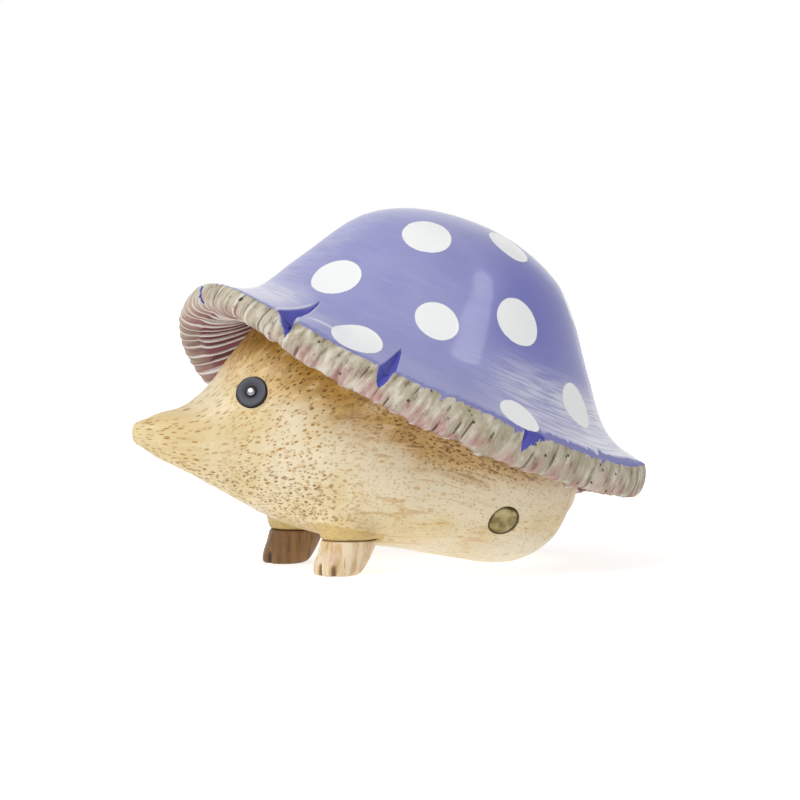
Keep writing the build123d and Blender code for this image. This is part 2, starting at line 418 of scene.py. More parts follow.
def cap_point(turn, radius, half_width, height, droop):
    """A point on one ring of the cap: turn 0 is the front, a quarter turn is the left side."""
    rise = height - ring_drop(turn, droop)
    return CAP_FRAME @ (Vector((half_width * sin(turn), -radius * cos(turn), rise)) * MM)


def dome_point(turn, length, depth=0.0):
    """A point on the painted top, by the length of outline from the crown, sunk by a depth."""
    before = cap_outline.at(length - 0.5)
    after = cap_outline.at(length + 0.5)
    heading = (after - before).normalized()
    here = cap_outline.at(length)
    radius = here.x + heading.y * depth
    height = here.y - heading.x * depth
    return cap_point(turn, radius, radius * CAP_NARROW, height, SIDE_DROOP * (here.x / LIP_RADIUS) ** 2)


print("outline of the cap from crown to rim, mm:", round(cap_outline.length, 1))

# %% [markdown]
# ## Gills and pleats
# Under the paint the wood shows: the rim is cut into uneven pleats, and they roll round the lower edge
# into thin gills on the underside. The gills stand where the solid has them. The pleats could be drawn
# one by one, but only the boldest few matter for likeness; the finer ones between them come from
# seeded chance, so that no two are alike and the result never changes. Each fold opens and closes along
# its height, as a knife cut does.

# %% Gills under the brim
GILLS = 84
GILL_WANDER = 0.3
GILL_SLANT = 0.42


def groove_turn(number):
    """Turn of one groove between two gills, spaced as unevenly as in the solid."""
    half = GILLS // 2
    sway = GILL_WANDER * sin(2.4 * number) * sin(pi * (number % half) / half) ** 0.5
    return tau * (number + sway) / GILLS


def slanted_turn(turn, above_edge):
    """Turn that a gill or pleat has at the lower edge: they lean over as they rise."""
    return (turn - GILL_SLANT * above_edge / LIP_RADIUS * sin(turn)) % tau


gill_edges = [groove_turn(i) for i in range(GILLS + 1)]
chance = random.Random(11)
gill_tones = [chance.random() for _ in range(GILLS)]


def gill_at(turn, above_edge):
    """Number of the gill, 0 on its crest to 1 in its groove, and the depth of that groove."""
    turn = slanted_turn(turn, above_edge)
    number = min(bisect_right(gill_edges, turn) - 1, GILLS - 1)
    width = gill_edges[number + 1] - gill_edges[number]
    across = 2 * (turn - gill_edges[number]) / width - 1
    groove = (number if across < 0 else number + 1) % GILLS
    return number, abs(across), 0.8 + 0.45 * sin(1.7 * groove + 0.6)


print("gills:", GILLS, "mean width in mm:", round(tau * 58 / GILLS, 1))

# %% Pleats of the rim
# turns in degrees of the folds that stand out on the left rear
BOLD_FOLDS = [63.5, 67.5, 75.5, 79.5, 81.5, 87.0, 94.0, 98.0, 103.5, 109.0, 117.0, 123.0, 128.0]


def away(turn, middle):
    """Degrees between a turn and a middle, the short way round."""
    return abs((degrees(turn) - middle + 180) % 360 - 180)


folds = [(middle, chance.uniform(0.75, 1.0)) for middle in BOLD_FOLDS]
next_turn = 0.6
while next_turn < 359:
    if min(away(radians(next_turn), bold) for bold in BOLD_FOLDS) > 1.2:
        quiet = 62 < next_turn < 132
        folds.append((next_turn, chance.uniform(0.05, 0.3) if quiet else chance.uniform(0.25, 1.0)))
    next_turn += chance.uniform(1.4, 3.3)
folds.sort()
fold_turns = [fold[0] for fold in folds]
pleat_tones = [chance.random() for _ in folds]


def fold_run(fold, above_edge):
    """How far a fold gapes at a height: 1 where it is open, 0 where it closes."""
    return ease(noise.noise(Vector((7.3 * fold, 0.35 * above_edge, 2))), -0.3, 0.25)


def pleat_at(turn, above_edge):
    """Rise of the pleat at a point, share across it, its number, and how near its folds are."""
    here = degrees(slanted_turn(turn, above_edge))
    number = bisect_right(fold_turns, here) - 1
    left_turn, left_bold = folds[number]
    right_turn, right_bold = folds[(number + 1) % len(folds)]
    left, right = (here - left_turn) % 360, (right_turn - here) % 360
    share = left / (left + right)
    left_run = left_bold * fold_run(number, above_edge)
    right_run = right_bold * fold_run((number + 1) % len(folds), above_edge)
    crease = max(left_run * bell(left, 0.34), right_run * bell(right, 0.34))
    ridge = left_bold * bell(left - 0.8, 0.5)
    arch = (4 * share * (1 - share)) ** 0.5
    pillow = 0.2 * (left_bold + right_bold) * min((left + right) / 2.5, 1.0) * arch
    tooth = (0.6 + 2.0 * right_bold) * (0.5 - share) * min(1.0, (left + right) / 2)
    tooth *= 0.2 + 1.3 * pleat_tones[number] ** 2
    return 0.3 * ridge + pillow - 0.75 * crease, number, crease, tooth


print("pleats:", len(folds))

# %% [markdown]
# ## Carved notches
# A few larger cuts go through the brim. Their deep blue is partly dark paint pooled in the cut and partly
# painted shade. Each is shaped like a leaf on the surface: pointed below, widest just above the rim and
# pointed again up on the dome. Across, it is a lopsided V with a crisp edge, and behind the widest one
# the wood curls up into a ridge.

# %% Leaves of the notches
# turn at the rim and lean (degrees, degrees per mm), half width, reach down and up, depth, lopsidedness
NOTCHES = [
    (35.4, -0.8, 3.5, 4.2, 14.8, 3.0, 0.45),
    (62.1, 0.04, 2.1, 4.1, 12.2, 1.9, 0.1),
    (358.3, -1.25, 1.0, 7.6, 2.5, 0.9, 0.0),
    (171.0, 0.1, 3.2, 3.6, 12.0, 2.2, 0.3),
    (204.0, 0.0, 1.4, 4.0, 7.0, 1.4, 0.0),
    (236.0, -0.1, 3.8, 4.2, 15.0, 2.8, -0.35),
    (268.0, 0.05, 1.8, 3.8, 10.0, 1.7, 0.1),
    (309.0, 0.1, 2.4, 3.2, 9.0, 1.5, 0.2),
]
# turn and height of the middle, half spans of both, rise
CURLS = [(42.0, 6.8, 7.0, 5.5, 0.9), (165.0, 5.0, 5.0, 4.0, 0.5), (243.0, 5.5, 6.0, 4.5, 0.6)]
# first and last turn, drop of the paint at the first
PATCHES = [
    (96.3, 101.8, 3.4), (184.0, 189.0, 2.6), (222.0, 226.0, 2.2), (286.0, 292.0, 3.0), (340.0, 344.0, 2.0),
]


def notch_at(turn, above):
    """Depth, hollow of dark paint and painted shade, pale edge and paint drop at a height above the rim's
    edge.
    """
    depth = hollow = pale_edge = drop = 0.0
    for middle, lean, half_width, low, high, deepest, lopsided in NOTCHES:
        opening = clamp((above + low) / (low + 2))
        closing = clamp(1 - (above - 2) / (high - 2))
        fullness = opening ** (0.8 if half_width > 3 else 0.32) * closing ** 0.6
        sideways = lean * (min(above, 4.0) if above > 0 or half_width < 3 else 0.6 * above)
        off = (degrees(turn) - middle - sideways + 180) % 360 - 180
        if fullness <= 0 or abs(off) > 2 * half_width:
            continue
        across = off / (half_width * fullness)
        if abs(across) < 1:
            inner = (across + 1) / (1 + lopsided) if across < lopsided else (1 - across) / (1 - lopsided)
            depth += deepest * fullness ** 0.7 * inner
            hollow = max(hollow, ease(inner, 0.0, 0.25))
        if half_width > 3:
            pale_edge = max(pale_edge, bell(abs(off) - half_width * fullness, 0.35) * ease(fullness, 0.05, 0.4))
        drop = max(drop, (low + 1.2) * max(0.0, 1 - across ** 2) ** 0.25)
    for middle, height, half_turn, half_height, rise in CURLS:
        off = away(turn, middle) / half_turn
        up = abs(above - height) / half_height
        if off < 1 and up < 1:
            depth -= rise * (1 - off ** 2) * (1 - up)
            if hollow == 0:
                pale_edge = max(pale_edge, (1 - off ** 2) * bell(above - height, 0.5))
    here = degrees(turn) % 360
    for first, last, deepest in PATCHES:
        if first <= here < last:
            drop = max(drop, deepest * (last - here) / (last - first))
            hollow = max(hollow, 0.7 * (1 - ease(above, 0.5, 2.5)))
    return depth, hollow, pale_edge, drop


print("notches:", len(NOTCHES), "patches of paint:", len(PATCHES))

# %% [markdown]
# ## The cap's mesh
# A cap like this could be sculpted, or spun from its outline. Spinning gives perfect rings, and this
# brim droops, leans and is cut all round, so instead a flat grid is wrapped: one side of the grid runs
# round the cap, the other from the crown over the brim and back in underneath. In front the rim rolls
# softly inwards, and knife furrows roughen it all round. Each point also keeps a few marks, such as
# its distance from the paint's ragged edge or the depth of its furrow, which the finish reads later.

# %% Rows of the grid from crown to seat
CAP_COLUMNS = 1400
SEAM_TURN = radians(245)
SHOULDER = 0.78
FOLD_DEPTH = 1.6
UNDERSIDE = 20.0
cap_rows = [("dome", SHOULDER * i / 16) for i in range(16)]
cap_rows += [("dome", SHOULDER + (1 - SHOULDER) * i / 20) for i in range(20)]
cap_rows += [("band", i / 13) for i in range(13)]
cap_rows += [("under", i / 13) for i in range(14)]
cap_rows += [("seat", 1.0)]
print("rows:", len(cap_rows), "columns:", CAP_COLUMNS)


# %% One point of the wrapped cap
def wrapped_cap(turn, zone, share):
    """Place of one point of the cap, its length from the crown, and its marks."""
    spans = {"dome": (share - 1) * cap_outline.length, "band": share * BAND}
    down = spans.get(zone, BAND + share * UNDERSIDE)
    length = cap_outline.length + down
    above_edge = max(BAND - down, 0.0)
    number, side, cut = gill_at(turn, above_edge)
    rise, pleat, crease, tooth = pleat_at(turn, above_edge)
    depth = hollow = pale_edge = drop = under = 0.0
    if zone in spans:
        depth, hollow, pale_edge, drop = notch_at(turn, -down)
    # knife furrows, calmer on the left where the bold folds are
    furrow_turn = slanted_turn(turn, above_edge)
    furrow = wave(furrow_turn, 44, 0.25 * above_edge) + 0.6 * wave(furrow_turn, 95, 0.5 * above_edge)
    furrow *= 1 - 0.5 * bell(away(turn, 100), 36)
    scallop = 1.1 * wave(turn, 11, 5)
    edge_wave = 0.7 * wave(turn, 5, 9) + bell(away(turn, 98), 16)
    # round the front the edge rolls inwards from higher up and reaches farther in than elsewhere
    front = ease(cos(turn + radians(20)), 0.35, 0.8)
    roll_start = blend(0.66, 0.36, front)
    roll_reach = blend(0.06, 0.24, front)
    front_cut = 0.55 * cut * side * front
    fold = FOLD_DEPTH * cut * side ** 0.8
    # the lower edge hangs below the plain rim, most on the left side
    hang = 1.3 + 1.7 * bell(away(turn, 90), 24)
    if zone == "dome":
        depth += (0.25 - 0.4 * wave(turn, 3, length * 0.06)) * ease(length, 30, 70)
        depth -= (0.7 * rise + 0.3 * furrow) * (1 - ease(-down, 0.0, 2.4))
        place = dome_point(turn, length, depth)
    elif zone == "band":
        roll = max(0.0, (share - roll_start) / (1 - roll_start))
        inwards = roll ** 2 * roll_reach
        rise = (rise + 0.55 * furrow) * blend(1.0, 0.5, max(roll ** 2, front))
        rise = min(rise, 0.08 + 0.25 * rise) - front_cut * ease(share, 0.05, 0.4)
        radius = LIP_RADIUS + BAND_BULGE * (1 - (2 * share - 1) ** 2) - 0.38 + rise - depth
        radius -= inwards * (LIP_RADIUS - SEAT_RADIUS)
        height = BAND / 2 - BAND * (share - (1 - roll_start) * roll ** 3 / 3) - hang * share ** 1.5
        height += inwards * (SEAT_RISE + BAND / 2) - 0.6 * depth * (1 - share)
        height += (0.4 * fold + scallop) * roll ** 2
        place = cap_point(turn, radius, radius * CAP_NARROW, height, SIDE_DROOP * (1 - inwards))
        under = 0.7 * ease(share, blend(0.86, 0.5, front), 1.0)
    elif zone == "under":
        inwards = blend(roll_reach, 1.0, share)
        outer = 1 - ease(share, 0.0, 0.2)
        swell = (0.5 * rise + 0.27 * furrow - 0.35 - front_cut) * outer
        radius = blend(LIP_RADIUS, SEAT_RADIUS, inwards) + swell
        half_width = blend(LIP_RADIUS * CAP_NARROW, SEAT_HALF_WIDTH, inwards) + swell * CAP_NARROW
        height = blend(-BAND / 2, SEAT_RISE, inwards) + scallop * outer
        height += fold * blend(1.0, 0.4, outer) * (1 - ease(inwards, 0.7, 1.0))
        height -= hang * (1 - ease(share, 0.0, 0.6)) + 1.8 * front * sin(pi * share)
        height += BAND * (1 - roll_start) / 3 * (1 - share) ** 1.5
        place = cap_point(turn, radius, half_width, height, SIDE_DROOP * (1 - inwards))
        under = blend(0.7, 1.0, ease(share, 0.0, 0.15))
    else:
        place = cap_point(turn, 0, 0, SEAT_RISE, 0)
        under = 1.0
    marks = {
        "paint_left": drop + tooth + edge_wave - 0.4 - down,
        "crease": crease, "pleat_tone": pleat_tones[pleat],
        "groove": side, "tone": gill_tones[number],
        "hollow": hollow, "pale_edge": pale_edge, "under": under, "furrow": furrow,
    }
    return place, length, marks


MARKS = list(wrapped_cap(0.0, "band", 0.5)[2])
print("marks on every point of the cap:", MARKS)

# %% Wrap the grid into the cap
cap_bm = bmesh.new()
bmesh.ops.create_grid(cap_bm, x_segments=CAP_COLUMNS, y_segments=len(cap_rows) - 1, size=1)
wrap = cap_bm.loops.layers.uv.new("wrap")
mark_layers = {name: cap_bm.verts.layers.float.new(name) for name in MARKS}
last_row = len(cap_rows) - 1
flat_place = {}
for vert in cap_bm.verts:
    round_share = (vert.co.x + 1) / 2
    zone, share = cap_rows[round((vert.co.y + 1) / 2 * last_row)]
    place, length, marks = wrapped_cap(SEAM_TURN + tau * round_share, zone, share)
    for mark_name, value in marks.items():
        vert[mark_layers[mark_name]] = value
    flat_place[vert] = (round_share, length / 100)
    vert.co = place
for face in cap_bm.faces:
    for loop in face.loops:
        loop[wrap].uv = flat_place[loop.vert]
bmesh.ops.remove_doubles(cap_bm, verts=cap_bm.verts, dist=0.00001 * MM)
bmesh.ops.dissolve_degenerate(cap_bm, edges=cap_bm.edges, dist=0.00001 * MM)
bmesh.ops.recalc_face_normals(cap_bm, faces=cap_bm.faces)
print("open edges of the cap:", sum(edge.is_boundary for edge in cap_bm.edges))

# %% [markdown]
# ## Paint, bare rim and gills
# The blue is smooth and glossy, with faint strokes that run round the cap. Streaks of white on the front
# shoulder and the brim are painted reflections of the bright room, and the left rear is painted a darker
# blue as shade. White spots were dabbed on top, thick at their edges. Below the ragged edge the wood is
# bare: cream pleats with creases darkened as painted shade, knife furrows with painted light on their
# highs and painted shade in their lows, a pink wash low down, and wine red between the white crests of
# the gills. Strokes run along the turn, so they read the cap's own wrap; the spots are balls in space,
# cut by the surface.

# %% Spots by turn, length from the crown and width
SPOTS = [
    (50.5, 32.2, 12.2), (99.0, 21.9, 12.0), (29.5, 54.6, 12.6), (69.0, 54.6, 11.4),
    (99.0, 45.8, 12.4), (51.0, 70.1, 12.4), (97.0, 72.6, 11.0), (127.0, 60.9, 11.6),
    (152.0, 34.0, 12.0), (158.0, 69.0, 12.2), (184.0, 52.0, 11.6), (203.0, 24.0, 12.4),
    (214.0, 70.5, 11.4), (226.0, 47.0, 12.0), (251.0, 64.0, 12.2), (262.0, 31.0, 11.6),
    (279.0, 50.0, 12.4), (296.0, 71.0, 11.2), (318.0, 42.0, 12.0), (331.0, 62.0, 11.8),
]
print("spots:", len(SPOTS))

# %% Blue paint and its strokes
paint = Finish("cap_paint")
round_share, down_share, _ = paint.split(paint.node("ShaderNodeUVMap", {"uv_map": "wrap"}, {}))
round_left = (round_share * tau + SEAM_TURN).sine()
round_front = (round_share * tau + SEAM_TURN + pi / 2).sine()
stroke_way = paint.join(round_left * 0.45, round_front * 0.45, down_share * 26)
stroke = paint.noise(stroke_way, 9.0, detail=5, rough=0.6)
broad_way = paint.join(round_left * 0.5, round_front * 0.5, down_share * 7)
broad_stroke = paint.noise(broad_way, 8.0, detail=3, warp=0.4)
cloud = paint.noise(paint.place, 40.0, detail=2)
rear_left = round_left.step(0.3, 0.7) * round_front.step(0.2, -0.3)
# painted shade: the left rear of the cap, turned from the front lamp, gets a darker blue
painted_shade_side = round_left.step(0.1, 0.8) * round_front.step(0.65, -0.35)
painted_shade_side = painted_shade_side * down_share.step(0.02, 0.3) * (1 - 0.75 * down_share.step(0.46, 0.64))
paint_left = paint.mark("paint_left")
edge_shade = (paint_left + (broad_stroke - 0.5) * 2 - 1.6 * rear_left).step(3.0, 1.6)
blue = paint.coats(
    (145, 146, 199),
    (cloud.step(0.35, 0.65), (156, 158, 206)),
    (broad_stroke.step(0.45, 0.7) * 0.35, (140, 141, 196)),
    (stroke.step(0.56, 0.74) * 0.22, (196, 198, 226)),
    # painted shade on the left rear
    (painted_shade_side * 0.8, (97, 100, 186)),
    (edge_shade * (0.3 + 0.25 * rear_left), (98, 99, 174)),
)
print("nodes for the blue:", len(paint.tree.nodes))

# %% Painted white reflections, and blue hollows with painted shade
wisp = (stroke + (broad_stroke - 0.5) * 0.5).step(0.38, 0.6)
# white streaks painted as reflections of the bright room in the gloss: front shoulder, front brim, rear brim
shoulder_sheen = round_front.step(0.9, 0.995) * down_share.step(0.22, 0.45)
front_brim_sheen = (
    round_front.step(0.84, 0.93) * round_left.step(-0.2, 0.1)
    * down_share.step(0.58, 0.66) * paint_left.step(1.0, 2.4)
)
rear_brim_sheen = rear_left * down_share.step(0.52, 0.62) * (1 - edge_shade)
rear_sheen = 0.15 + 0.2 * round_front.step(-0.35, -0.6) + 0.6 * wisp
painted_sheen_share = (shoulder_sheen * 0.2 * wisp).most(front_brim_sheen * (0.25 + 0.45 * wisp))
painted_sheen_share = painted_sheen_share.most(rear_brim_sheen * rear_sheen)
hollow = paint.mark("hollow")
# deep blue in the notches and patches: partly dark paint pooled there, partly painted shade
pooled_blue_and_shade = paint.mix(cloud.step(0.4, 0.6), (66, 66, 158), (84, 85, 178))
blue = paint.coats(
    blue,
    # painted reflection in white
    (painted_sheen_share, (226, 227, 238)),
    (hollow.step(0.1, 0.6), pooled_blue_and_shade),
    # a pale bluish-white line along the notches' crisp edges and the crest of the curls
    (paint.mark("pale_edge") * 0.8, (236, 236, 244)),
)
print("nodes with the strokes:", len(paint.tree.nodes))

# %% Spots over the paint
# distance in mm from the edge of the nearest spot, negative inside it
reaches = [paint.distance(dome_point(radians(turn), length)) - width / 2 for turn, length, width in SPOTS]
spot_edge = reduce(Channel.least, reaches) + (cloud - 0.5) * 2.4 + (stroke - 0.5) * 0.4
spots = spot_edge.step(0.14, -0.14)
spot_rim = spots * spot_edge.step(-1.0, -0.2)
painted = paint.mix(spots, blue, paint.mix(spot_rim, (249, 250, 250), (253, 253, 253)))
print("nodes with the spots:", len(paint.tree.nodes))

# %% Bare pleats of the rim
KNOT_HOLE = cap_point(radians(20.5), 62.6, 62.6 * CAP_NARROW, 2.8, SIDE_DROOP)
PIT_SCALE = 620.0
crease, pleat_tone, furrow = [paint.mark(name) for name in ("crease", "pleat_tone", "furrow")]
grit = paint.noise(paint.place, 900.0, detail=3)
blotch = paint.noise(paint.place, 150.0, detail=3, warp=0.6)
fibre_way = paint.join(round_share * 360 + down_share * 30, down_share * 12, 0.0)
fibre = paint.noise(fibre_way, 2.2, detail=4, rough=0.65)
furrow_light_and_shade = furrow + (grit - 0.5) * 0.6
pink = paint_left.step(-2.4, -6.8) * (blotch + pleat_tone * 0.2).step(0.44, 0.68)
pink = pink * (0.3 + 0.7 * (fibre - furrow * 0.2).step(0.42, 0.6))
scratch = (fibre - furrow * 0.25).step(0.54, 0.62) * blotch.step(0.55, 0.64)
pit_chance, _, _ = paint.split(paint.cells(paint.place, PIT_SCALE, "Color"))
pit_share = pit_chance + blotch.step(0.5, 0.62) * 0.3
pits = paint.cells(paint.place, PIT_SCALE, "Distance").step(0.3, 0.16) * pit_share.step(0.92, 0.96)
bare = paint.coats(
    (176, 167, 142),
    (pleat_tone, (208, 198, 180)),
    (blotch.step(0.46, 0.66) * 0.6, (164, 154, 124)),
    # fibre streaks, lighter and darker: partly grain, partly painted highlight and shade of the fine relief
    # the bump draws
    (fibre.step(0.54, 0.7) * 0.5, (226, 221, 206)),
    (fibre.step(0.46, 0.32) * 0.6, (140, 127, 102)),
    # painted highlight on the high knife furrows and painted shade in the low ones
    (furrow_light_and_shade.step(0.05, 0.5) * 0.65, (230, 224, 210)),
    (furrow_light_and_shade.step(-0.1, -0.55) * 0.7, (112, 98, 76)),
    (pink * 0.8, (184, 122, 130)),
    (scratch * paint_left.step(-1.5, -5) * 0.75, (134, 68, 78)),
    # painted shade in the creases between the pleats
    ((crease + (fibre - 0.5) * 0.6).step(0.3, 0.8) * 0.85, (84, 70, 52)),
    # pits and the knot hole painted near black: painted shade inside these small holes
    (pits * 0.9, (48, 38, 32)),
    ((paint.distance(KNOT_HOLE) + (grit - 0.5)).step(0.75, 0.45), (30, 27, 24)),
)
print("nodes with the pleats:", len(paint.tree.nodes))

# %% Gills, and everything on the cap together
groove, tone, under = [paint.mark(name) for name in ("groove", "tone", "under")]
fray = fibre - 0.5
front = (round_front * 0.94 - round_left * 0.342).step(0.35, 0.8)
wine = paint.coats((104, 52, 58), (tone, (146, 84, 88)), (fibre.step(0.55, 0.7) * 0.5, (140, 100, 66)))
gill = paint.coats(
    (198, 188, 192),
    ((groove + fray * 0.3).step(0.2, 0.4), wine),
    ((groove + fray * 0.2).step(0.2, 0.06), (246, 242, 238)),
)
crest = (groove + fray * 0.25).step(0.22, 0.06)
still_painted = (paint_left + (grit - 0.5) + fray * 2.6).step(-0.1, 0.16)
cap_colour = paint.coats(
    bare,
    # olive in the grooves of the front band: painted shade, varied per gill
    (front * groove.step(0.2, 0.7) * 0.55, paint.mix(tone, (182, 172, 140), (206, 194, 178))),
    (front * crest * (0.2 + 0.6 * tone), (244, 240, 232)),
    (under, gill),
    (still_painted, painted),
)
paint_relief = 0.3 * stroke + 0.3 + 0.3 * spots + 0.2 * spot_rim
wood_relief = 0.3 * grit + 0.45 * fibre - 0.5 * pits
cap_relief = still_painted * paint_relief + (1 - still_painted) * wood_relief
shiny = still_painted * (1 - edge_shade * 0.85) * (1 - hollow.step(0.1, 0.5) * 0.85)
shoulder = down_share.step(0.25, 0.4) * down_share.step(0.68, 0.55)
shiny = shiny * (1 - 0.45 * shoulder * round_front.step(0.55, 0.85))
cap_material = paint.surface(
    cap_colour, cap_relief, 0.25,
    roughness=0.64 - 0.34 * shiny, coat_weight=0.5 * shiny, coat_roughness=0.1, specular_ior_level=0.4,
)
finish_piece("cap_dressed", cap_bm, "cap", cap_material)

# %% [markdown]
# ## The body's form
# The body is one carved root: a pointed snout, a steep brow, a round flank and a low rump. It could be
# sculpted from a ball, but its outline is known, so sections are laid along it, each a rounded oblong
# that is squarer on the belly where the legs start. The two haunches are carved from the same wood, so
# they are wrapped as rough plugs, melted into the body by a voxel remesh, and smoothed like sanded wood.

# %% Sections of the body
NOSE = -67.354
BACK_SQUARENESS = 2.4
# place behind the nose tip, half width, underside, back (mm) and squareness of the belly
BODY_SECTIONS = [
    (1.4, 3.5, 31.6, 37.4, 2.4), (7.0, 6.5, 28.1, 39.3, 2.4), (14.5, 9.3, 24.4, 41.4, 2.4),
    (22.0, 12.2, 20.4, 47.2, 2.5), (29.5, 15.8, 16.4, 56.0, 2.8), (40.5, 20.8, 11.2, 66.0, 3.4),
    (55.5, 25.2, 6.6, 71.0, 3.8), (70.5, 27.2, 4.0, 69.0, 3.0), (85.5, 26.8, 1.0, 60.0, 2.4),
    (97.5, 24.4, -0.5, 51.0, 2.4), (107.5, 19.0, 3.4, 42.0, 2.4), (114.5, 11.0, 10.5, 33.0, 2.4),
]
RUMP_ROUND = 2.5
nose_place, rump_place = BODY_SECTIONS[0][0], BODY_SECTIONS[-1][0]


def section_at(place):
    """All sizes of the section at a place, on smooth curves through the given sections."""
    knots = [section[0] for section in BODY_SECTIONS]
    i = clamp(bisect_right(knots, place) - 1, 0, len(knots) - 2)
    gap = knots[i + 1] - knots[i]
    share = (place - knots[i]) / gap
    sizes = []
    for column in range(1, 5):
        values = [section[column] for section in BODY_SECTIONS]
        slopes = []
        for k in (i, i + 1):
            low, high = max(k - 1, 0), min(k + 1, len(knots) - 1)
            slopes.append((values[high] - values[low]) / (knots[high] - knots[low]) * gap)
        a, b = values[i], values[i + 1]
        curve = 3 * (b - a) - 2 * slopes[0] - slopes[1]
        twist = slopes[0] + slopes[1] - 2 * (b - a)
        sizes.append(a + share * (slopes[0] + share * (curve + share * twist)))
    return sizes


def squared(value, power):
    """A sine or cosine, bent so that a circle becomes a rounded oblong."""
    return copysign(abs(value) ** power, value)


def body_point(turn, row):
    """A point of the body: turn 0 is the back, a quarter turn the left flank."""
    place, fullness = row
    half_width, underside, back, belly = section_at(clamp(place, nose_place, rump_place))
    power = 2 / (BACK_SQUARENESS if cos(turn) > 0 else belly)
    across = half_width * fullness * squared(sin(turn), power)
    rise = (back - underside) / 2 * fullness * squared(cos(turn), power)
    return Vector((across, place + NOSE, max((back + underside) / 2 + rise, 0.0))) * MM


def rounded_end(tip, shoulder, count):
    """Rows that round an end off, from its tip to its shoulder."""
    rows = []
    for i in range(count):
        angle = pi / 2 * i / count
        rows.append((blend(tip, shoulder, 1 - cos(angle)), sin(angle)))
    return rows


def wrap_grid(bm, columns, rows, place_of, *side):
    """Wraps a new grid into a closed form: place_of gives each point by turn, row and, in pairs, side."""
    made = bmesh.ops.create_grid(bm, x_segments=columns, y_segments=len(rows) - 1, size=1)["verts"]
    for vert in made:
        row = rows[round((vert.co.y + 1) / 2 * (len(rows) - 1))]
        vert.co = place_of((vert.co.x + 1) * pi, row, *side)
    bmesh.ops.remove_doubles(bm, verts=made, dist=0.00001 * MM)


body_rows = rounded_end(0.0, nose_place, 8)
body_rows += [(blend(nose_place, rump_place, i / 120), 1.0) for i in range(121)]
body_rows += rounded_end(rump_place + RUMP_ROUND, rump_place, 8)[::-1]
print("rows along the body:", len(body_rows))

# %% Haunches above the feet
LEG_ACROSS = 16.2
LEG_ALONG = -17.954
FOOT_TOP = 8.5
LEG_HALF_WIDTH = 6.3
LEG_HALF_LENGTH = 7.0
# height, step inwards, half width, half length
HAUNCH = [
    (FOOT_TOP, 0, 0, 0), (FOOT_TOP, 0, LEG_HALF_WIDTH, LEG_HALF_LENGTH), (9.6, 0, 6.5, 7.3),
    (11.2, 0.3, 6.9, 8.2), (14, 1.6, 7.3, 9.8), (19, 4, 7, 11), (25, 7, 5, 9), (28, 8.5, 0, 0),
]


def haunch_point(turn, ring, side):
    height, inwards, half_width, half_length = ring
    across = side * (LEG_ACROSS - inwards) + half_width * sin(turn)
    return Vector((across, LEG_ALONG - half_length * cos(turn), height)) * MM


rough_bm = bmesh.new()
wrap_grid(rough_bm, 160, body_rows, body_point)
for side in (1, -1):
    wrap_grid(rough_bm, 48, HAUNCH, haunch_point, side)
bmesh.ops.recalc_face_normals(rough_bm, faces=rough_bm.faces)
print("rough body faces:", len(rough_bm.faces))


# %% Melt body and haunches together
VOXEL = 0.6
HAUNCH_SANDINGS = 45


def discard(obj):
    """Removes an object that has done its work, with its mesh."""
    mesh = obj.data
    bpy.data.objects.remove(obj)
    bpy.data.meshes.remove(mesh)


def baked(obj):
    """The object with its modifiers applied, as a bmesh; the object itself is removed."""
    graph = bpy.context.evaluated_depsgraph_get()
    whole = bpy.data.meshes.new_from_object(obj.evaluated_get(graph))
    result = bmesh.new()
    result.from_mesh(whole)
    discard(obj)
    bpy.data.meshes.remove(whole)
    return result


def sand(bm, verts):
    bmesh.ops.smooth_vert(bm, verts=verts, factor=0.5, use_axis_x=True, use_axis_y=True, use_axis_z=True)


rough = mesh_object("rough", rough_bm)
melt = rough.modifiers.new("melt", "REMESH")
melt.mode = "VOXEL"
melt.voxel_size = VOXEL * MM
body_bm = baked(rough)
sand(body_bm, body_bm.verts)
haunch_verts = []
for vert in body_bm.verts:
    x, y, z = vert.co / MM
    if FOOT_TOP + 1.6 < z < 32 and hypot((abs(x) - 14) / 13, (y - LEG_ALONG) / 20) < 1:
        haunch_verts.append(vert)
for _ in range(HAUNCH_SANDINGS):
    sand(body_bm, haunch_verts)
print("sanded points at the haunches:", len(haunch_verts))

# %% Knife facets, flat joints and the cut for the cap
FACET_DEPTH = 0.16
SAW_MARGIN = 0.6
GLUE_GAP = 0.02
cap_inverse = CAP_FRAME.inverted()


def brim_underside(across, along):
    """Height of the brim's underside in the cap's frame above a point, or of the seat inside it."""
    low, high = 0.0, 1.0
    lip_half = LIP_RADIUS * CAP_NARROW
    if (across / SEAT_HALF_WIDTH) ** 2 + (along / SEAT_RADIUS) ** 2 <= 1:
        return SEAT_RISE
    for _ in range(24):
        middle = (low + high) / 2
        half_width = blend(lip_half, SEAT_HALF_WIDTH, middle)
        radius = blend(LIP_RADIUS, SEAT_RADIUS, middle)
        if (across / half_width) ** 2 + (along / radius) ** 2 < 1:
            low = middle
        else:
            high = middle
    turn = atan2(across / half_width, -along / radius)
    return blend(-BAND / 2, SEAT_RISE, middle) - ring_drop(turn, SIDE_DROOP * (1 - middle))


